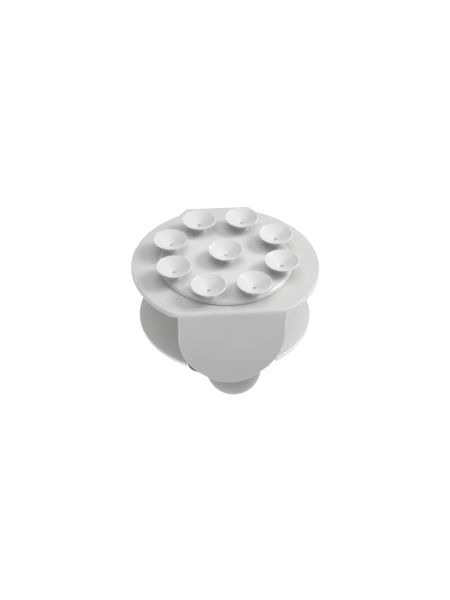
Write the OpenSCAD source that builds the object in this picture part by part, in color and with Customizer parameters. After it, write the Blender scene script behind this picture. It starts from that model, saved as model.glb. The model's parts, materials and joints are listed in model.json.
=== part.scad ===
// Suction-mounted flower frog. A nine-cup suction pad holds the mounting plate. A wide ear at
// the front and a narrow strap at the back, both folded from the plate, clip the stem disc to
// it round a column. A swivelling, tilting socket with a ball end takes the main stem, and
// four soft grommets in the disc take thin stems.
// The origin is the centre of the plane that the cup rims lie in, with +Z towards the
// surface that the pad grips. The ear is at the front (-Y) and the strap at the back (+Y).

/* [Mounting plate] */
// Radius of the mounting plate
plate_r = 30; // [28:0.5:34]
// Wall thickness of the plate, the ear and the strap
plate_t = 1.6; // [1.4:0.1:1.8]
// Distance from the axis to the outer face of the ear
ear_y = 25.2; // [25:0.1:25.6]
// Height of the ear below the top of the plate
ear_h = 29.0; // [27:0.1:30]
// Distance from the axis to the outer face of the strap
strap_y = 31.4; // [31.2:0.1:31.6]
// Width of the strap
strap_w = 20; // [16:0.5:21]
// Outer radius of the folds
fold_r = 1.8; // [1.7:0.1:2.4]

/* [Suction pad] */
// Radius of the pad sheet
pad_r = 22.0; // [21.8:0.1:22.6]
// Thickness of the pad sheet
pad_t = 1.0; // [0.8:0.1:1.2]
// Height of a cup from the pad sheet to its rim
cup_h = 4.0; // [3.8:0.1:4.4]
// Radius of a cup's rim
cup_r = 5.4; // [5:0.1:5.8]
// Radius of the ring that the outer cups stand on
cup_ring_r = 18.3; // [17.8:0.1:18.6]
// Number of cups in the ring
cup_count = 8; // [6:1:8]
// How far the pad is turned from the plate
pad_turn = 1; // [-5:0.5:5]

/* [Stem disc] */
// Radius of the stem disc
disc_r = 28.2; // [27:0.1:29]
// Thickness of the stem disc
disc_t = 1.5; // [1.4:0.1:1.8]
// Distance from the top of the plate to the top of the disc
disc_drop = 20; // [19.6:0.1:20.4]
// Distance from the axis to the disc's notch, behind the ear
disc_notch_y = 23.3; // [23:0.1:23.4]

/* [Stem socket] */
// Radius of the ball at the socket's end
ball_r = 9.2; // [8.8:0.1:9.2]
// Distance from the tilt axis to the ball's centre
ball_reach = 23.9; // [23.9:0.1:25]
// Lean of the socket from the vertical, as it stands
lean = 26; // [0:1:31]
// Swing of the socket from the front, as it stands
swing = 12; // [0:1:360]
// Radius of the main stem bore
stem_r = 2.5; // [2:0.1:2.6]

/* [Grommets] */
// Radius of a grommet's collar
grommet_r = 4.1; // [3.6:0.1:4.1]
// Radius of a grommet's stem hole
grommet_bore_r = 1.6; // [1:0.1:2]
// Grommet position across the disc
grommet_x = 9.4; // [9.2:0.1:9.6]
// Grommet position towards the front and the back
grommet_y = 18.4; // [18.2:0.1:18.6]

/* [Hidden] */
$fn = 96;
eps = 0.01;

// heights, from the cup rims down
pad_top = -cup_h;
pad_bottom = pad_top - pad_t;
tape_t = 0.2;
tape_r = pad_r - 0.8;
plate_top = pad_bottom - tape_t;
plate_bottom = plate_top - plate_t;
disc_top = plate_top - disc_drop;
disc_bottom = disc_top - disc_t;

// suction cup profile
cup_neck_r = 2.3;
cup_neck_h = 0.7;
cup_lip = 0.25;
cup_well_r = 0.9;
cup_well_z = -3.0;
cup_mark_r = 0.35;

// ear outline: straight sides, two side arcs and a tip arc
ear_w = 2 * 16.5;
ear_side_r = 20;
ear_side_x = ear_side_r - ear_w / 2;
ear_straight = 9.5;
ear_tip_r = 13.4;
ear_arc_z = plate_top - ear_straight;
ear_tip_z = plate_top - ear_h + ear_tip_r;
ear_join_z = ear_arc_z - (ear_arc_z - ear_tip_z) * ear_side_r / (ear_side_r - ear_tip_r);
fillet_r = 1.0;
edge_r = 0.45;
rib_t = 1.2;
ear_rib_w = 12;
ear_rib_depth = 0.8;

// back strap, and the straight sides that blend it into the plate
strap_h = disc_drop + disc_t + rib_t + 1.5;
strap_corner_r = 4;
strap_rib_w = 8;
strap_rib_depth = 2.2;
blend_angle = 27;

// column and turret
column_r = 15;
turret_bore_r = 12.3;
turret_r = 12.2;
turret_top = plate_top - 8.0;
roof_z = turret_top + 1.9;
slip_t = 0.4;
slip_in_r = 10.7;
turret_bottom = disc_top + slip_t + 0.05;
opening_r = 10.4;
bridge_t = 2.2;
slot_x = 4.75;
ring_r = 9.5;
ring_section_r = 0.9;
ring_z = (roof_z + turret_top) / 2;

// tilt joint
tilt_z = plate_top - 15;
eye_r = 4.4;
eye_x = 4.1;
screw_r = 1.5;
eye_bore_r = screw_r + 0.05;
head_r = 2.8;
head_in_x = 9.4;
head_out_x = 11.2;
nut_r = 2.9;
nut_in_x = 9.2;
recess_r = 3.1;
washer_r = 3.8;
washer_in_x = 4.15;
washer_out_x = 4.7;

// socket arm and ball
arm_r = 4.1;
arm_end = ball_reach + 5;
grip_r = 3.2;
grip_start = ball_reach - 7;
grip_end = ball_reach + 8.2;
bore_start = 6.4;
mouth_r = 3.0;

// fasteners
plate_screw_ring_r = 9;
plate_screw_r = 1.0;
plate_screw_head_r = 2.1;
plate_screw_head_h = 1.1;
plate_screw_depth = 3.6;
disc_screw_ring_r = 13.65;
disc_screw_r = 0.9;
disc_screw_head_r = 1.6;
disc_screw_head_h = 1.0;
disc_screw_depth = 5;
screw_count = 4;

// disc notch, which clears the ear
notch_w = 27.8;

// grommets
grommet_waist_r = 3.0;
grommet_top_t = 1.0;
grommet_drop = 5.0;
grommet_round = 0.6;
GROMMETS = [[-1, -1], [1, -1], [1, 1], [-1, 1]];

white = [0.93, 0.93, 0.92];
silicone = [0.97, 0.97, 0.96];
gloss_white = [0.9, 0.9, 0.9];
dark = [0.22, 0.22, 0.23];
steel = [0.72, 0.73, 0.75];
amber = [0.85, 0.75, 0.5];

// ---- helpers ----

// copies round a ring, the first at half a step from the X axis
module around(count, r) {
    for (i = [0 : count - 1])
        rotate([0, 0, (i + 0.5) * 360 / count])
            translate([r, 0, 0])
                children();
}

// a ring or disc between two heights
module band(z0, z1, r, bore = 0) {
    difference() {
        translate([0, 0, z0])
            cylinder(h = z1 - z0, r = r);
        if (bore > 0)
            translate([0, 0, z0 - 1])
                cylinder(h = z1 - z0 + 2, r = bore);
    }
}

// a round bar along X between two places
module x_bar(x0, x1, r) {
    translate([x0, 0, 0])
        rotate([0, 90, 0])
            cylinder(h = x1 - x0, r = r);
}

// a disc whose rim is rounded, between two heights
module soft_disc(z0, z1, r, round_r) {
    translate([0, 0, z0])
        rotate_extrude() {
            square([r - round_r, z1 - z0]);
            translate([0, round_r])
                square([r, z1 - z0 - 2 * round_r]);
            for (z = [round_r, z1 - z0 - round_r])
                translate([r - round_r, z])
                    circle(r = round_r, $fn = 32);
        }
}

// the turret's own frame: tilt axis along X, turned to the socket's swing
module at_tilt_axis() {
    translate([0, 0, tilt_z])
        rotate([0, 0, swing])
            children();
}

// the socket's own frame: -Z runs from the tilt axis to the ball
module at_socket() {
    at_tilt_axis()
        rotate([-lean, 0, 0])
            children();
}

// ---- mounting plate, pad and tape ----

// outline of the ear in X and Z, from the plate's top to its tip
module ear_outline() {
    translate([-ear_w / 2, ear_arc_z])
        square([ear_w, ear_straight]);
    intersection() {
        translate([-ear_side_x, ear_arc_z])
            circle(r = ear_side_r);
        translate([ear_side_x, ear_arc_z])
            circle(r = ear_side_r);
        translate([-ear_w, ear_join_z])
            square([2 * ear_w, ear_arc_z - ear_join_z + eps]);
    }
    intersection() {
        translate([0, ear_tip_z])
            circle(r = ear_tip_r);
        translate([-ear_w, plate_top - 2 * ear_h])
            square([2 * ear_w, ear_join_z - plate_top + 2 * ear_h + eps]);
    }
}

// outline of the back strap in X and Z
module strap_outline() {
    translate([-strap_w / 2, plate_top - strap_h + strap_corner_r])
        square([strap_w, strap_h - strap_corner_r]);
    translate([strap_corner_r - strap_w / 2, plate_top - strap_h])
        square([strap_w - 2 * strap_corner_r, strap_corner_r + eps]);
    for (x = [-1, 1])
        translate([x * (strap_w / 2 - strap_corner_r), plate_top - strap_h + strap_corner_r])
            circle(r = strap_corner_r);
}

// a folded tongue at the front, its outline given as the child, with the concave fillet
// under the fold and the snap rib that the stem disc rests on
module tongue(out_y, w, rib_w, rib_depth) {
    in_y = out_y - plate_t;
    translate([0, -in_y, 0])
        rotate([90, 0, 0])
            linear_extrude(height = plate_t)
                children();
    difference() {
        translate([-w / 2, -in_y - eps, plate_bottom - fillet_r])
            cube([w, fillet_r + eps, fillet_r + eps]);
        translate([0, -in_y + fillet_r, plate_bottom - fillet_r])
            x_bar(-w, w, fillet_r);
    }
    translate([-rib_w / 2, -in_y - eps, disc_bottom - rib_t])
        cube([rib_w, rib_depth + eps, rib_t]);
}

// the flat wing that joins the round plate to the strap
module strap_root() {
    translate([0, 0, plate_bottom])
        linear_extrude(height = plate_t)
            polygon([
                [-plate_r * sin(blend_angle), plate_r * cos(blend_angle)],
                [-strap_w / 2, strap_y],
                [strap_w / 2, strap_y],
                [plate_r * sin(blend_angle), plate_r * cos(blend_angle)]
            ]);
}

// the folded sheet's profile in Y and Z, extended along X
module fold_profile() {
    span = ear_y + strap_y;
    translate([-plate_r - 1, 0, 0])
        rotate([90, 0, 90])
            linear_extrude(height = 2 * plate_r + 2) {
                translate([-ear_y, plate_top - ear_h - 1])
                    square([span, ear_h + 1 - fold_r]);
                translate([-ear_y + fold_r, plate_top - fold_r - eps])
                    square([span - 2 * fold_r, fold_r + eps]);
                for (y = [-ear_y + fold_r, strap_y - fold_r])
                    translate([y, plate_top - fold_r])
                        circle(r = fold_r);
            }
}

module mounting_plate() {
    color(white)
        difference() {
            intersection() {
                union() {
                    soft_disc(plate_bottom, plate_top, plate_r, edge_r);
                    strap_root();
                    tongue(ear_y, ear_w, ear_rib_w, ear_rib_depth)
                        ear_outline();
                    mirror([0, 1, 0])
                        tongue(strap_y, strap_w, strap_rib_w, strap_rib_depth)
                            strap_outline();
                }
                fold_profile();
            }
            around(screw_count, plate_screw_ring_r) {
                band(plate_bottom - 1, plate_top + 1, plate_screw_r);
                translate([0, 0, plate_top - plate_screw_head_h])
                    cylinder(h = plate_screw_head_h, r1 = plate_screw_r, r2 = plate_screw_head_r);
            }
        }
}

// half section of one cup, rim at z = 0, foot sunk into the pad sheet
module cup_profile() {
    polygon([
        [0, pad_top - pad_t / 2],
        [cup_neck_r, pad_top - pad_t / 2],
        [cup_neck_r, pad_top + cup_neck_h],
        [cup_r, -cup_lip],
        [cup_r, 0],
        [cup_r - cup_lip, 0],
        [cup_well_r, cup_well_z],
        [cup_mark_r, cup_well_z - 0.1],
        [cup_mark_r, cup_well_z - 0.3],
        [0, cup_well_z - 0.3]
    ]);
}

module cup() {
    rotate_extrude()
        cup_profile();
}

module suction_pad() {
    color(silicone)
        rotate([0, 0, pad_turn]) {
            soft_disc(pad_bottom, pad_top, pad_r, 0.3);
            cup();
            around(cup_count, cup_ring_r)
                cup();
        }
}

module pad_tape() {
    color(amber)
        band(plate_top, pad_bottom, tape_r);
}

module plate_screws() {
    color(steel)
        around(screw_count, plate_screw_ring_r) {
            band(plate_bottom - plate_screw_depth, plate_top - plate_screw_head_h, plate_screw_r);
            translate([0, 0, plate_top - plate_screw_head_h])
                cylinder(h = plate_screw_head_h, r1 = plate_screw_r, r2 = plate_screw_head_r);
        }
}

// ---- column, disc and what they hold ----

module spacer_column() {
    color(white)
        difference() {
            band(disc_top, plate_bottom, column_r);
            band(disc_top - 1, roof_z, turret_bore_r);
            around(screw_count, plate_screw_ring_r)
                band(plate_bottom - plate_screw_depth, plate_bottom + 1, plate_screw_r);
            around(screw_count, disc_screw_ring_r)
                band(disc_top - 1, disc_top + disc_screw_depth, disc_screw_r);
        }
}

module stem_disc() {
    color(gloss_white)
        difference() {
            soft_disc(disc_bottom, disc_top, disc_r, disc_t / 2 - 0.05);
            translate([-notch_w / 2, -disc_r - 1, disc_bottom - 1])
                cube([notch_w, disc_r + 1 - disc_notch_y, disc_t + 2]);
            band(disc_bottom - 1, disc_top + 1, opening_r);
            around(screw_count, disc_screw_ring_r)
                band(disc_bottom - 1, disc_top + 1, disc_screw_r);
            for (g = GROMMETS)
                translate([g[0] * grommet_x, g[1] * grommet_y, 0])
                    band(disc_bottom - 1, disc_top + 1, grommet_waist_r);
        }
}

module disc_screws() {
    color(steel)
        around(screw_count, disc_screw_ring_r) {
            band(disc_bottom - disc_screw_head_h, disc_bottom, disc_screw_head_r);
            band(disc_bottom - eps, disc_top + disc_screw_depth, disc_screw_r);
        }
}

module friction_ring() {
    color(dark)
        translate([0, 0, ring_z])
            rotate_extrude()
                translate([ring_r, 0])
                    circle(r = ring_section_r, $fn = 32);
}

module slip_washer() {
    color(amber)
        band(disc_top, disc_top + slip_t, turret_r, slip_in_r);
}

module grommet(index) {
    g = GROMMETS[index];
    color(dark)
        translate([g[0] * grommet_x, g[1] * grommet_y, 0])
            difference() {
                union() {
                    band(disc_top, disc_top + grommet_top_t, grommet_r);
                    band(disc_bottom - eps, disc_top + eps, grommet_waist_r);
                    soft_disc(disc_bottom - grommet_drop, disc_bottom, grommet_r, grommet_round);
                }
                band(disc_bottom - grommet_drop - 1, disc_top + grommet_top_t + 1, grommet_bore_r);
            }
}

// ---- turret, which swivels in the column ----

module turret() {
    color(white)
        difference() {
            band(turret_bottom, turret_top, turret_r);
            at_tilt_axis() {
                translate([-slot_x, -turret_r - 1, turret_bottom - tilt_z - 1])
                    cube([2 * slot_x, 2 * turret_r + 2, turret_top - bridge_t - turret_bottom + 1]);
                x_bar(-turret_r - 1, turret_r + 1, screw_r);
                x_bar(-turret_r - 1, -head_in_x, recess_r);
                x_bar(nut_in_x, turret_r + 1, recess_r);
            }
        }
}

module tilt_screw() {
    color(steel)
        at_tilt_axis() {
            x_bar(-head_in_x - eps, head_out_x, screw_r);
            x_bar(-head_out_x, -head_in_x, head_r);
        }
}

module tilt_nut() {
    color(steel)
        at_tilt_axis()
            difference() {
                translate([nut_in_x, 0, 0])
                    rotate([0, 90, 0])
                        cylinder(h = head_out_x - nut_in_x - 0.3, r = nut_r, $fn = 6);
                x_bar(nut_in_x - 1, head_out_x, screw_r);
            }
}

module tilt_washer(side) {
    color(amber)
        at_tilt_axis()
            mirror([side < 0 ? 1 : 0, 0, 0])
                difference() {
                    x_bar(washer_in_x, washer_out_x, washer_r);
                    x_bar(washer_in_x - 1, washer_out_x + 1, screw_r);
                }
}

// ---- stem socket, which tilts in the turret ----

module socket_arm() {
    color(white)
        at_socket()
            difference() {
                union() {
                    x_bar(-eye_x, eye_x, eye_r);
                    band(-arm_end, 0, arm_r);
                }
                x_bar(-eye_x - 1, eye_x + 1, eye_bore_r);
                band(-arm_end - 1, -bore_start, stem_r);
                band(-arm_end - 1, -grip_start, grip_r);
            }
}

module socket_ball() {
    color(gloss_white)
        at_socket()
            difference() {
                translate([0, 0, -ball_reach])
                    sphere(r = ball_r);
                band(-arm_end, 0, arm_r);
                band(-ball_reach - ball_r - 1, 0, grip_r);
            }
}

module stem_grip() {
    color(silicone)
        at_socket()
            difference() {
                band(-grip_end, -grip_start, grip_r, stem_r);
                translate([0, 0, -grip_end - eps])
                    cylinder(h = mouth_r - stem_r, r1 = mouth_r, r2 = stem_r);
            }
}

mounting_plate();
suction_pad();
pad_tape();
plate_screws();
spacer_column();
stem_disc();
disc_screws();
friction_ring();
slip_washer();
grommet(0);  // grommet_front_left
grommet(1);  // grommet_front_right
grommet(2);  // grommet_back_right
grommet(3);  // grommet_back_left
turret();
tilt_screw();
tilt_nut();
tilt_washer(-1);  // tilt_washer_left
tilt_washer(1);  // tilt_washer_right
socket_arm();
socket_ball();
stem_grip();
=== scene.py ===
"""Looks of the suction-mounted flower frog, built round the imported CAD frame."""

import json
import math

import bmesh
import bpy
from mathutils import Matrix, Vector


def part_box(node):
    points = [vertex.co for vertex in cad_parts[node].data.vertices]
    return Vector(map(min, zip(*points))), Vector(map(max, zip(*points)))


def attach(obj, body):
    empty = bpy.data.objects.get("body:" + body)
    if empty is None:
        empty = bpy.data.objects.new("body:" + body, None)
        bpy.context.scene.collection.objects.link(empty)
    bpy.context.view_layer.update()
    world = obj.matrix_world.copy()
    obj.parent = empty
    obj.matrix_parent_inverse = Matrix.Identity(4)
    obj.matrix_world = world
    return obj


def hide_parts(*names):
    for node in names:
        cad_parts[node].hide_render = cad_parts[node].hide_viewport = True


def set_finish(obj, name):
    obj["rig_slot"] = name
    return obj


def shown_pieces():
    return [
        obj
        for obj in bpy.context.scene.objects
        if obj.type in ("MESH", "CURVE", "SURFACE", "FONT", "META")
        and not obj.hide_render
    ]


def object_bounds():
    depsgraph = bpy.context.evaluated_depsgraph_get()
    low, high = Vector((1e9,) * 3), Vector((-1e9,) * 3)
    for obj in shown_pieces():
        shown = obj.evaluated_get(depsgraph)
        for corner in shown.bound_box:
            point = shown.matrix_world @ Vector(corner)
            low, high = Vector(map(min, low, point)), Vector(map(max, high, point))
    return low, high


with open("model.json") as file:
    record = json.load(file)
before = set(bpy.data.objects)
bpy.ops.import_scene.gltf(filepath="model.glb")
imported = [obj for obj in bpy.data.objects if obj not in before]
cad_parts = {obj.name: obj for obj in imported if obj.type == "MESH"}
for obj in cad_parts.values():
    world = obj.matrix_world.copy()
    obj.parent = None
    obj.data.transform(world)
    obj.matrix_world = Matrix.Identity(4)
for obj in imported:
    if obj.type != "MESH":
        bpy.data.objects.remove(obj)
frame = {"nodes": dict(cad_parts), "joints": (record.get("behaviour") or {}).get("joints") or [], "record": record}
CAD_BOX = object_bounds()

MM = 0.001

# ---- sizes: from the frame's boxes where it has them, otherwise the part's own, in mm ----


def box_mm(node):
    """Lowest and highest corner of a CAD node, in millimetres."""
    return tuple(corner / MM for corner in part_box(node))


PLATE_LOW, PLATE_HIGH = box_mm("mounting_plate")
PLATE_TOP = PLATE_HIGH.z
PLATE_R = PLATE_HIGH.x
PLATE_T = 1.6
EDGE_R = 0.45
EAR_Y = -PLATE_LOW.y
EAR_TIP = PLATE_TOP - PLATE_LOW.z
EAR_HALF = 16.5
EAR_STRAIGHT = 9.5
EAR_SIDE_R = 20.0
EAR_TIP_R = 13.4
STRAP_Y = PLATE_HIGH.y
STRAP_HALF = 10.0
STRAP_TIP = 24.2
STRAP_CORNER = 4.0
STRAP_BOW = 0.5
BLEND_ANGLE = math.radians(27)
FOLD_R = 1.8
FOLD_MID_R = FOLD_R - PLATE_T / 2
FOLD_STEPS = 10
RIB_T = 1.2
RIB_ROOT = 0.3
RIB_EDGE_R = 0.3
# side (-1 front, 1 back), outer face, half width and depth of each snap rib
RIBS = [(-1, EAR_Y, 6.0, 0.8), (1, STRAP_Y, 4.0, 1.6)]

PAD_BOTTOM = box_mm("suction_pad")[0].z
PAD_T = 1.0
PAD_TOP = PAD_BOTTOM + PAD_T
PAD_R = box_mm("pad_tape")[1].x + 0.3
PAD_TURN = math.radians(1)
CUP_R = 5.4
CUP_RING_R = 18.3
CUP_COUNT = 8
CUP_WELL = 2.4
CUP_NECK_R = 2.1
CUP_NECK_H = 0.75
CUP_LIP_Z = -0.3
CUP_FLARE = 0.94
CUP_MARK_R = 0.3

DISC_LOW, DISC_HIGH = box_mm("stem_disc")
DISC_R = DISC_HIGH.x
DISC_EDGE_R = 0.4
NOTCH_Y = 23.3
NOTCH_HALF = math.sqrt(DISC_R**2 - DISC_LOW.y**2)
OPENING_R = 10.4
GROMMETS = ["grommet_front_left", "grommet_front_right", "grommet_back_right", "grommet_back_left"]
GROMMET_WAIST_R = 3.0
GROMMET_BORE_R = 1.6

COLUMN_LOW, COLUMN_HIGH = box_mm("spacer_column")
COLUMN_R = COLUMN_HIGH.x
COLUMN_BORE_R = 12.3
COLUMN_ROOF_T = 4.5

TILT = next(j for j in frame["joints"] if j["name"] == "socket_tilt")
SOCKET = next(m for m in frame["record"]["mounts"] if m["name"] == "stem_socket")
PIVOT = Vector(TILT["pos_m"]) / MM
BALL_R = 9.19
BALL_REACH = 23.9
BALL_STEP_Z = -5.02
ARM_R = 4.1
GRIP_R = 3.2

# ---- mesh helpers, all in millimetres until piece() scales them ----


def rounded(corners, steps=6):
    """A closed profile from (r, z, fillet) corners, each rounded to its own radius."""
    points = []
    for i, (r, z, fillet) in enumerate(corners):
        corner = Vector((r, z))
        if fillet <= 0:
            points.append(corner)
            continue
        back = (Vector(corners[i - 1][:2]) - corner).normalized()
        ahead = (Vector(corners[(i + 1) % len(corners)][:2]) - corner).normalized()
        half = back.angle(ahead) / 2
        centre = corner + (back + ahead).normalized() * fillet / math.sin(half)
        start = corner + back * fillet / math.tan(half) - centre
        end = corner + ahead * fillet / math.tan(half) - centre
        sweep = math.pi - 2 * half
        for k in range(steps + 1):
            t = k / steps
            spoke = start * math.sin((1 - t) * sweep) + end * math.sin(t * sweep)
            points.append(centre + spoke / math.sin(sweep))
    return points


def lathe(bm, profile, place=Matrix.Identity(4), steps=96, material=0):
    """Turns a closed (r, z) profile about Z. Points on the axis become one vertex."""
    rings = []
    for r, z in profile:
        if r < 1e-6:
            rings.append([bm.verts.new(place @ Vector((0, 0, z)))])
            continue
        angles = (2 * math.pi * k / steps for k in range(steps))
        spots = (Vector((r * math.cos(a), r * math.sin(a), z)) for a in angles)
        rings.append([bm.verts.new(place @ spot) for spot in spots])
    for ring, after in zip(rings, rings[1:] + rings[:1]):
        if len(ring) == 1 and len(after) == 1:
            continue
        for k in range(steps):
            n = (k + 1) % steps
            corners = [ring[k % len(ring)], ring[n % len(ring)]]
            corners += [after[n % len(after)], after[k % len(after)]]
            face = bm.faces.new(list(dict.fromkeys(corners)))
            face.material_index = material
    return bm


def piece(name, bm, body, slot, *nodes, sharp=35):
    """A finished object from a mesh in millimetres, riding on a body and standing for CAD nodes."""
    bmesh.ops.recalc_face_normals(bm, faces=bm.faces)
    bmesh.ops.scale(bm, vec=(MM, MM, MM), verts=bm.verts)
    mesh = bpy.data.meshes.new(name)
    bm.to_mesh(mesh)
    bm.free()
    mesh.shade_smooth()
    mesh.set_sharp_from_angle(angle=math.radians(sharp))
    obj = bpy.data.objects.new(name, mesh)
    bpy.context.scene.collection.objects.link(obj)
    obj.modifiers.new("normals", "WEIGHTED_NORMAL").keep_sharp = True
    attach(obj, body)
    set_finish(obj, slot)
    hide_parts(*nodes)
    return obj


def inset(loop, depth):
    """A closed 2D loop moved inwards (to its left) by depth."""
    moved = []
    for i, point in enumerate(loop):
        along = (loop[(i + 1) % len(loop)] - loop[i - 1]).normalized()
        moved.append(point + Vector((-along.y, along.x)) * depth)
    return moved


def slab(bm, loops, z0, z1, edge):
    """A flat plate with soft rims. The first loop runs anticlockwise, and holes run clockwise."""
    steps = 5
    levels = []
    for k in range(steps + 1):
        a = math.pi / 2 * k / steps
        levels.append((edge * (1 - math.sin(a)), z0 + edge * (1 - math.cos(a))))
    levels += [(d, z0 + z1 - z) for d, z in reversed(levels)]
    caps = {0: [], len(levels) - 1: []}
    for loop in loops:
        rings = [[bm.verts.new((p.x, p.y, z)) for p in inset(loop, d)] for d, z in levels]
        for ring, after in zip(rings, rings[1:]):
            for k in range(len(ring)):
                n = (k + 1) % len(ring)
                bm.faces.new((ring[k], ring[n], after[n], after[k]))
        for level, edges in caps.items():
            ring = rings[level]
            edges += [bm.edges.get((ring[k - 1], ring[k])) for k in range(len(ring))]
    for edges in caps.values():
        bmesh.ops.triangle_fill(bm, use_beauty=True, use_dissolve=False, edges=edges)
    return bm


def circle(x, y, r, count, clockwise=False):
    """Points of a circle as a loop."""
    turn = -1 if clockwise else 1
    angles = [turn * 2 * math.pi * k / count for k in range(count)]
    return [Vector((x + r * math.cos(a), y + r * math.sin(a))) for a in angles]


# ---- mounting plate: one sheet with the ear and the strap folded down ----


def span(start, end, count):
    """Evenly spaced numbers from start to end, both included."""
    return [start + (end - start) * k / count for k in range(count + 1)]


def sheet_outline():
    """The flat sheet's right-hand outline as (x, s), from the ear's tip to the strap's tip.
    s is the distance from the axis along the sheet, negative towards the ear."""
    side_x = EAR_HALF - EAR_SIDE_R
    tip_z = EAR_TIP - EAR_TIP_R
    meet = math.atan2(tip_z - EAR_STRAIGHT, -side_x)
    ear = [
        (EAR_TIP_R * math.cos(a), tip_z + EAR_TIP_R * math.sin(a))
        for a in span(math.pi / 2, meet, 26)
    ]
    ear += [
        (side_x + EAR_SIDE_R * math.cos(a), EAR_STRAIGHT + EAR_SIDE_R * math.sin(a))
        for a in span(meet, 0, 22)[1:]
    ]
    ear += [(EAR_HALF, z) for z in span(EAR_STRAIGHT, FOLD_R, 6)[1:-1]]
    front, back = EAR_Y - FOLD_R, STRAP_Y - FOLD_R
    arc = FOLD_MID_R * math.pi / 2
    points = [(x, -(front + arc + z - FOLD_R)) for x, z in ear]
    for a in span(math.pi / 2, 0, FOLD_STEPS):
        rim = math.sqrt(PLATE_R**2 - (front + FOLD_R * math.sin(a)) ** 2)
        points.append((max(EAR_HALF, rim), -(front + FOLD_MID_R * a)))
    start = -math.asin(front / PLATE_R)
    points += [
        (PLATE_R * math.cos(a), PLATE_R * math.sin(a))
        for a in span(start, math.pi / 2 - BLEND_ANGLE, 90)[1:]
    ]
    root_x, root_y = points[-1]
    slope = (STRAP_HALF - root_x) / (STRAP_Y - root_y)
    points += [(root_x + slope * (y - root_y), y) for y in span(root_y, back, 3)[1:-1]]
    for a in span(0, math.pi / 2, FOLD_STEPS):
        y = back + FOLD_R * math.sin(a)
        points.append((root_x + slope * (y - root_y), back + FOLD_MID_R * a))
    foot = STRAP_TIP - STRAP_CORNER - STRAP_BOW
    fall = back + arc - FOLD_R
    points += [(STRAP_HALF, fall + z) for z in span(FOLD_R, foot, 8)[1:]]
    points += [
        (STRAP_HALF - STRAP_CORNER * (1 - math.cos(a)), fall + foot + STRAP_CORNER * math.sin(a))
        for a in span(0, math.pi / 2, 12)[1:]
    ]
    flat = STRAP_HALF - STRAP_CORNER
    low = fall + foot + STRAP_CORNER
    points += [(flat * (1 - t), low + STRAP_BOW * (1 - (1 - t) ** 2)) for t in span(0, 1, 6)[1:]]
    return points


def fold(x, s, depth):
    """A point of the flat sheet, depth below its outer face, on the folded plate."""
    side = -1 if s < 0 else 1
    start = (EAR_Y if s < 0 else STRAP_Y) - FOLD_R
    run = abs(s) - start
    if run <= 0:
        return Vector((x, s, PLATE_TOP - depth))
    angle = min(run / FOLD_MID_R, math.pi / 2)
    drop = run - FOLD_MID_R * angle
    reach = FOLD_R - depth
    z = PLATE_TOP - FOLD_R + reach * math.cos(angle) - drop
    return Vector((x, side * (start + reach * math.sin(angle)), z))


def plate_mesh():
    """The folded sheet with soft rims, its snap ribs and the fillets inside its folds."""
    bm = bmesh.new()
    right = sheet_outline()
    half = len(right)
    left = [(-x, s) for x, s in reversed(right[1:-1])]
    loop = [Vector(p) for p in right + left]
    steps, columns = 4, 16
    levels = []
    for k in range(steps + 1):
        a = math.pi / 2 * k / steps
        levels.append((EDGE_R * (1 - math.sin(a)), EDGE_R * (1 - math.cos(a))))
    levels += [(d, PLATE_T - depth) for d, depth in reversed(levels)]
    rings = []
    for d, depth in levels:
        rings.append([bm.verts.new(fold(p.x, p.y, depth)) for p in inset(loop, d)])
    for ring, after in zip(rings, rings[1:]):
        for k in range(len(ring)):
            n = (k + 1) % len(ring)
            bm.faces.new((ring[k], ring[n], after[n], after[k]))
    for ring, (d, depth) in ((rings[0], levels[0]), (rings[-1], levels[-1])):
        flat = inset(loop, d)
        rows = []
        for i in range(1, half - 1):
            a, b = flat[-i], flat[i]
            row = [ring[-i]]
            row += [bm.verts.new(fold(*(a.lerp(b, c / columns)), depth)) for c in range(1, columns)]
            rows.append(row + [ring[i]])
        for row, after in zip(rows, rows[1:]):
            for c in range(columns):
                bm.faces.new((row[c], row[c + 1], after[c + 1], after[c]))
        for row, tip in ((rows[0], ring[0]), (rows[-1], ring[half - 1])):
            for c in range(columns):
                bm.faces.new((row[c], row[c + 1], tip))
    for side, out_y, rib_half, rib_depth in RIBS:
        inner = out_y - PLATE_T
        profile = rounded([
            (RIB_ROOT, 0, 0), (-rib_depth, 0, RIB_EDGE_R), (-rib_depth, -RIB_T, RIB_EDGE_R),
            (RIB_ROOT, -RIB_T, 0),
        ], 4)
        top = DISC_LOW.z
        ends = [
            [bm.verts.new((x, side * (inner + p.x), top + p.y)) for p in profile]
            for x in (-rib_half, rib_half)
        ]
        for k in range(len(profile)):
            n = (k + 1) % len(profile)
            bm.faces.new((ends[0][k], ends[0][n], ends[1][n], ends[1][k]))
        for end in ends:
            bm.faces.new(end)
    return bm


# ---- suction pad ----


def cup_profile():
    """Half section of a cup, rim at z = 0: neck, flaring wall, round lip and dished bowl."""
    wall = [(2.7, PAD_TOP - 0.3), (2.55, PAD_TOP + 0.05), (2.2, PAD_TOP + 0.3)]
    wall += [(CUP_NECK_R, PAD_TOP + CUP_NECK_H)]
    foot, lift = PAD_TOP + CUP_NECK_H, CUP_LIP_Z - PAD_TOP - CUP_NECK_H
    wall += [
        (CUP_NECK_R + (CUP_R - CUP_NECK_R) * t, foot + lift * t**CUP_FLARE)
        for t in span(0, 1, 8)[1:]
    ]
    lip = [(CUP_R, -0.12), (CUP_R - 0.05, -0.03), (CUP_R - 0.14, 0), (CUP_R - 0.24, -0.06)]
    bowl = [(0.55 + (CUP_R - 0.8) * t, -CUP_WELL + (CUP_WELL - 0.12) * t) for t in span(1, 0, 12)[1:]]
    return [(0, PAD_TOP - 0.3), *wall, *lip, *bowl]


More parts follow.
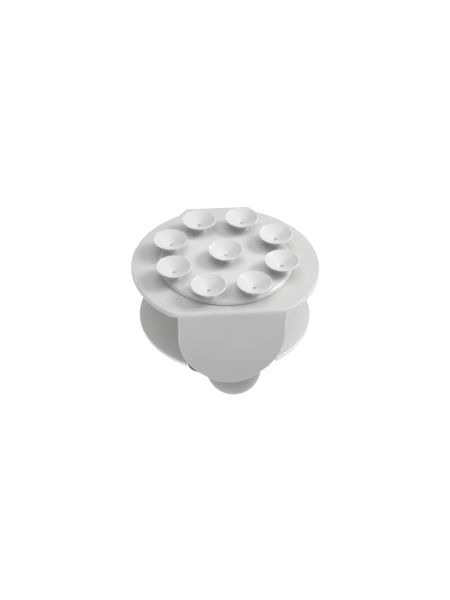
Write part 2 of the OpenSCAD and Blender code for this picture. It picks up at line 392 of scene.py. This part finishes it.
def pad_mesh():
    """The pad sheet with its nine cups. Each bowl's moulding mark takes the second material."""
    bm = bmesh.new()
    sheet = rounded([
        (0, PAD_BOTTOM, 0), (PAD_R, PAD_BOTTOM, 0.1), (PAD_R - 0.8, PAD_TOP, 0.8),
        (PAD_R - 2, PAD_TOP, 0), (0, PAD_TOP, 0),
    ], 6)
    lathe(bm, sheet, steps=160)
    spots = [Matrix.Identity(4)]
    for k in range(CUP_COUNT):
        angle = PAD_TURN + (k + 0.5) * 2 * math.pi / CUP_COUNT
        spots.append(Matrix.Rotation(angle, 4, "Z") @ Matrix.Translation((CUP_RING_R, 0, 0)))
    floor_z = -CUP_WELL
    mark = [
        (0.56, floor_z - 0.002), (CUP_MARK_R, floor_z + 0.02), (CUP_MARK_R - 0.08, floor_z - 0.3),
        (0, floor_z - 0.34), (0, floor_z - 0.5), (0.56, floor_z - 0.5),
    ]
    for spot in spots:
        lathe(bm, cup_profile() + [(0, floor_z - 0.45)], spot, steps=72)
        lathe(bm, mark, spot, steps=24, material=1)
    return bm


# ---- stem disc and grommets ----


def disc_outline():
    """The disc's rim, notched behind the ear, anticlockwise."""
    start = math.asin(DISC_LOW.y / DISC_R)
    rim = [
        Vector((DISC_R * math.cos(a), DISC_R * math.sin(a)))
        for a in span(start, math.pi - start, 180)
    ]
    return rim + [Vector((-NOTCH_HALF, -NOTCH_Y)), Vector((NOTCH_HALF, -NOTCH_Y))]


def grommet_centre(node):
    """The middle of a grommet, seen from above."""
    low, high = box_mm(node)
    return (low + high) / 2


def disc_mesh():
    """The stem disc with its opening and grommet holes."""
    holes = [circle(0, 0, OPENING_R, 96, clockwise=True)]
    for node in GROMMETS:
        centre = grommet_centre(node)
        holes.append(circle(centre.x, centre.y, GROMMET_WAIST_R, 36, clockwise=True))
    return slab(bmesh.new(), [disc_outline()] + holes, DISC_LOW.z, DISC_HIGH.z, DISC_EDGE_R)


def grommet_mesh(node):
    """A soft collar above and below the disc, joined by a waist through its hole."""
    low, high = box_mm(node)
    centre = (low + high) / 2
    outer = (high.x - low.x) / 2
    waist = GROMMET_WAIST_R - 0.02
    profile = rounded([
        (GROMMET_BORE_R, low.z, 0.4),
        (outer, low.z, 0.6),
        (outer, DISC_LOW.z - 0.02, 0.3),
        (waist, DISC_LOW.z - 0.02, 0),
        (waist, DISC_HIGH.z + 0.02, 0),
        (outer, DISC_HIGH.z + 0.02, 0.25),
        (outer, high.z, 0.4),
        (GROMMET_BORE_R, high.z, 0.3),
    ])
    return lathe(bmesh.new(), profile, Matrix.Translation((centre.x, centre.y, 0)), steps=64)


# ---- ball at the socket's end ----


def ball_mesh():
    """The ball, open where the arm enters and at its mouth, with a soft lip round the mouth."""
    top = math.asin((ARM_R + 0.01) / BALL_R)
    mouth = math.pi - math.asin((GRIP_R + 0.5) / BALL_R)
    profile = [(BALL_R * math.sin(a), BALL_R * math.cos(a)) for a in span(top, mouth, 60)]
    lip_z = BALL_R * math.cos(mouth)
    profile += [(GRIP_R + 0.2, lip_z - 0.05), (GRIP_R + 0.02, lip_z + 0.2), (GRIP_R + 0.02, BALL_STEP_Z)]
    profile += [(ARM_R + 0.01, BALL_STEP_Z)]
    axis = Vector(SOCKET["axis"])
    turn = (-axis).to_track_quat("Z", "Y").to_matrix().to_4x4()
    place = Matrix.Translation(PIVOT + axis * BALL_REACH) @ turn
    return lathe(bmesh.new(), profile, place, steps=128)


# ---- column ----


def column_mesh():
    """The column between plate and disc, bored from below, with softened rims."""
    low, high = COLUMN_LOW.z, COLUMN_HIGH.z
    roof = high - COLUMN_ROOF_T
    return lathe(bmesh.new(), rounded([
        (0, roof, 0), (COLUMN_BORE_R, roof, 0.2), (COLUMN_BORE_R, low, 0.15), (COLUMN_R, low, 0.3),
        (COLUMN_R, high, 0.15), (0, high, 0),
    ]), steps=128)


# ---- materials ----


def surface(
    name, tones, rough, drift=90, grain=2600, bump=0.15, stretch=(1, 1, 1), edge_wear_and_highlight=None, fall=None,
    **inputs,
):
    """A procedural finish: tone and roughness drift slowly, a fine grain lifts the surface,
    edge_wear_and_highlight recolours the edges (real wear on steel and rubber, a painted highlight on the silicone
    cup rims), and fall is (from z, to z, tone factor) down the piece, a painted shade darkening it towards the
    bottom."""
    mat = bpy.data.materials.new(name)
    mat.use_nodes = True
    nodes, link = mat.node_tree.nodes, mat.node_tree.links.new
    shader = nodes["Principled BSDF"]
    coords = nodes.new("ShaderNodeTexCoord")
    mapping = nodes.new("ShaderNodeMapping")
    mapping.inputs["Scale"].default_value = stretch
    link(coords.outputs["Object"], mapping.inputs["Vector"])
    slow = nodes.new("ShaderNodeTexNoise")
    slow.inputs["Scale"].default_value = drift
    slow.inputs["Detail"].default_value = 5
    fine = nodes.new("ShaderNodeTexNoise")
    fine.inputs["Scale"].default_value = grain
    fine.inputs["Detail"].default_value = 3
    for noise in (slow, fine):
        link(mapping.outputs["Vector"], noise.inputs["Vector"])
    ramp = nodes.new("ShaderNodeValToRGB")
    for stop, place, tone in zip(ramp.color_ramp.elements, (0.3, 0.7), tones):
        stop.position = place
        stop.color = (*tone, 1)
    link(slow.outputs["Fac"], ramp.inputs["Fac"])
    tone = ramp.outputs["Color"]
    # Edges recoloured by pointiness: real edge wear on some finishes, and on the silicone a painted highlight
    # along the cup rims.
    if edge_wear_and_highlight:
        edges = nodes.new("ShaderNodeValToRGB")
        for stop, place, level in zip(edges.color_ramp.elements, (0.5, 0.6), (0, 1)):
            stop.position = place
            stop.color = (level, level, level, 1)
        link(nodes.new("ShaderNodeNewGeometry").outputs["Pointiness"], edges.inputs["Fac"])
        mix = nodes.new("ShaderNodeMix")
        mix.data_type = "RGBA"
        mix.inputs["B"].default_value = (*edge_wear_and_highlight, 1)
        link(edges.outputs["Color"], mix.inputs["Factor"])
        link(tone, mix.inputs["A"])
        tone = mix.outputs["Result"]
    # Painted shade: the tone is scaled down from fall's first height to its second, darker towards the bottom.
    if fall:
        height = nodes.new("ShaderNodeSeparateXYZ")
        link(coords.outputs["Object"], height.inputs["Vector"])
        fade = nodes.new("ShaderNodeMapRange")
        values = {"From Min": fall[0] * MM, "From Max": fall[1] * MM, "To Min": 1, "To Max": fall[2]}
        for key, value in values.items():
            fade.inputs[key].default_value = value
        link(height.outputs["Z"], fade.inputs["Value"])
        dim = nodes.new("ShaderNodeVectorMath")
        dim.operation = "SCALE"
        link(tone, dim.inputs["Vector"])
        link(fade.outputs["Result"], dim.inputs["Scale"])
        tone = dim.outputs["Vector"]
    link(tone, shader.inputs["Base Color"])
    span_node = nodes.new("ShaderNodeMapRange")
    span_node.inputs["To Min"].default_value, span_node.inputs["To Max"].default_value = rough
    link(fine.outputs["Fac"], span_node.inputs["Value"])
    link(span_node.outputs["Result"], shader.inputs["Roughness"])
    lift = nodes.new("ShaderNodeBump")
    lift.inputs["Strength"].default_value = bump
    lift.inputs["Distance"].default_value = 0.02 * MM
    link(fine.outputs["Fac"], lift.inputs["Height"])
    link(lift.outputs["Normal"], shader.inputs["Normal"])
    for key, value in inputs.items():
        shader.inputs[key.replace("_", " ")].default_value = value
    return mat


MATERIALS = {
    "plate_plastic": surface(
        "plate_plastic", ((0.64, 0.64, 0.637), (0.67, 0.67, 0.667)), (0.36, 0.46),
        # Painted shade: the ear's plastic darkens towards its tip.
        fall=(PLATE_TOP - 4, PLATE_TOP - EAR_TIP, 0.87),
        Subsurface_Weight=0.7, Subsurface_Radius=(1, 1, 1), Subsurface_Scale=0.7 * MM,
    ),
    "silicone": surface(
        "silicone", ((0.7, 0.7, 0.697), (0.73, 0.73, 0.727)), (0.26, 0.36), bump=0.1,
        # Painted highlight: the lighter edges brighten the cup rims.
        edge_wear_and_highlight=(0.92, 0.92, 0.92),
        Subsurface_Weight=0.3, Subsurface_Radius=(1, 1, 1), Subsurface_Scale=0.3 * MM,
    ),
    "gate_mark": surface("gate_mark", ((0.45, 0.45, 0.45), (0.55, 0.55, 0.55)), (0.5, 0.6)),
    "tape": surface("tape", ((0.7, 0.69, 0.65), (0.76, 0.75, 0.71)), (0.4, 0.5)),
    "screw_steel": surface(
        "screw_steel", ((0.5, 0.51, 0.52), (0.62, 0.63, 0.64)), (0.22, 0.38), stretch=(1, 1, 9),
        edge_wear_and_highlight=(0.75, 0.75, 0.76), Metallic=1.0,
    ),
    "white_plastic": surface(
        "white_plastic", ((0.77, 0.77, 0.765), (0.81, 0.81, 0.8)), (0.4, 0.52), bump=0.25,
    ),
    "gloss_plastic": surface(
        "gloss_plastic", ((0.79, 0.79, 0.788), (0.82, 0.82, 0.818)), (0.14, 0.22), bump=0.06,
        Coat_Weight=0.2,
    ),
    "dark_rubber": surface(
        "dark_rubber", ((0.085, 0.085, 0.087), (0.13, 0.13, 0.132)), (0.5, 0.68), bump=0.4,
        edge_wear_and_highlight=(0.2, 0.2, 0.2),
    ),
    "nylon": surface("nylon", ((0.68, 0.66, 0.58), (0.74, 0.72, 0.65)), (0.35, 0.5)),
    # Darker grey: partly the ball's own plastic, partly painted shade standing in for the shade it sits in beneath
    # the disc.
    "ball_plastic": surface(
        "ball_plastic", ((0.38, 0.38, 0.38), (0.41, 0.41, 0.41)), (0.3, 0.4), bump=0.1,
    ),
    "grip_silicone": surface(
        "grip_silicone", ((0.78, 0.78, 0.76), (0.84, 0.84, 0.82)), (0.35, 0.5),
        Subsurface_Weight=0.3, Subsurface_Radius=(1, 1, 1), Subsurface_Scale=0.3 * MM,
    ),
}

# ---- pieces ----

piece("plate_sheet", plate_mesh(), "base", "plate_plastic", "mounting_plate")
piece("cup_pad", pad_mesh(), "base", "silicone", "suction_pad")
piece("disc_sheet", disc_mesh(), "base", "gloss_plastic", "stem_disc")
piece("column_body", column_mesh(), "base", "white_plastic", "spacer_column")
piece("ball_shell", ball_mesh(), "socket", "ball_plastic", "socket_ball")
for node in GROMMETS:
    piece(node.replace("grommet", "collar"), grommet_mesh(node), "base", "dark_rubber", node)

CAD_SLOTS = {row["node"]: row["material_slot"] for row in frame["record"]["subparts"]}
for name, obj in frame["nodes"].items():
    obj.data.materials.clear()
    obj.data.materials.append(MATERIALS[CAD_SLOTS[name]])
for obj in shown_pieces():
    if "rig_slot" in obj:
        obj.data.materials.append(MATERIALS[obj["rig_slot"]])
bpy.data.objects["cup_pad"].data.materials.append(MATERIALS["gate_mark"])

# ---- floor, lights and camera ----


def shine(name, place, aim, size, power):
    """A soft white square light at place, facing aim. Both are in metres."""
    data = bpy.data.lights.new(name, "AREA")
    data.shape = "SQUARE"
    data.size = size
    data.energy = power
    lamp = bpy.data.objects.new(name, data)
    lamp.location = place
    lamp.rotation_euler = (aim - place).to_track_quat("-Z", "Y").to_euler()
    bpy.context.scene.collection.objects.link(lamp)


CAD_LOW, CAD_HIGH = CAD_BOX
FLOOR_HALF = 3.0
FLOOR_GAP = 0.0005
bm = bmesh.new()
bmesh.ops.create_grid(bm, x_segments=8, y_segments=8, size=FLOOR_HALF)
floor_mesh = bpy.data.meshes.new("floor")
bm.to_mesh(floor_mesh)
bm.free()
floor = bpy.data.objects.new("floor", floor_mesh)
floor.location.z = CAD_LOW.z - FLOOR_GAP
bpy.context.scene.collection.objects.link(floor)
floor_mesh.materials.append(surface(
    "pale_floor", ((0.04, 0.04, 0.04), (0.05, 0.05, 0.05)), (0.8, 0.9), drift=4, grain=60,
    Emission_Color=(1, 1, 1, 1), Emission_Strength=1.0,
))

AZIMUTH = math.radians(-5.5)
ELEVATION = math.radians(40.1)
ROLL = math.radians(0.78)
DISTANCE = 327.94 * MM
RISE = 12.0 * MM
LENS = 61.72

camera_data = bpy.data.cameras.new("camera")
camera_data.sensor_width = 36
camera_data.lens = LENS
camera_data.clip_start, camera_data.clip_end = 0.01, 20
camera = bpy.data.objects.new("camera", camera_data)
turn = Matrix.Rotation(AZIMUTH, 4, "Z") @ Matrix.Rotation(math.pi / 2 - ELEVATION, 4, "X")
centre = Vector((0, 0, PLATE_TOP * MM))
place = centre + turn.to_3x3() @ Vector((0, -RISE, DISTANCE))
camera.matrix_world = Matrix.Translation(place) @ turn @ Matrix.Rotation(ROLL, 4, "Z")
bpy.context.scene.collection.objects.link(camera)
bpy.context.scene.camera = camera

middle = (CAD_LOW + CAD_HIGH) / 2
shine("key", Vector((0.5, 0.04, 0.44)), middle, 0.24, 2.5)
shine("top", Vector((0, 0, 0.5)), middle, 0.5, 1.35)

AMBIENT = 0.3
world = bpy.data.worlds.new("studio")
world.use_nodes = True
world.node_tree.nodes["Background"].inputs["Color"].default_value = (1, 1, 1, 1)
world.node_tree.nodes["Background"].inputs["Strength"].default_value = AMBIENT
bpy.context.scene.world = world
bpy.context.scene.view_settings.view_transform = "Standard"
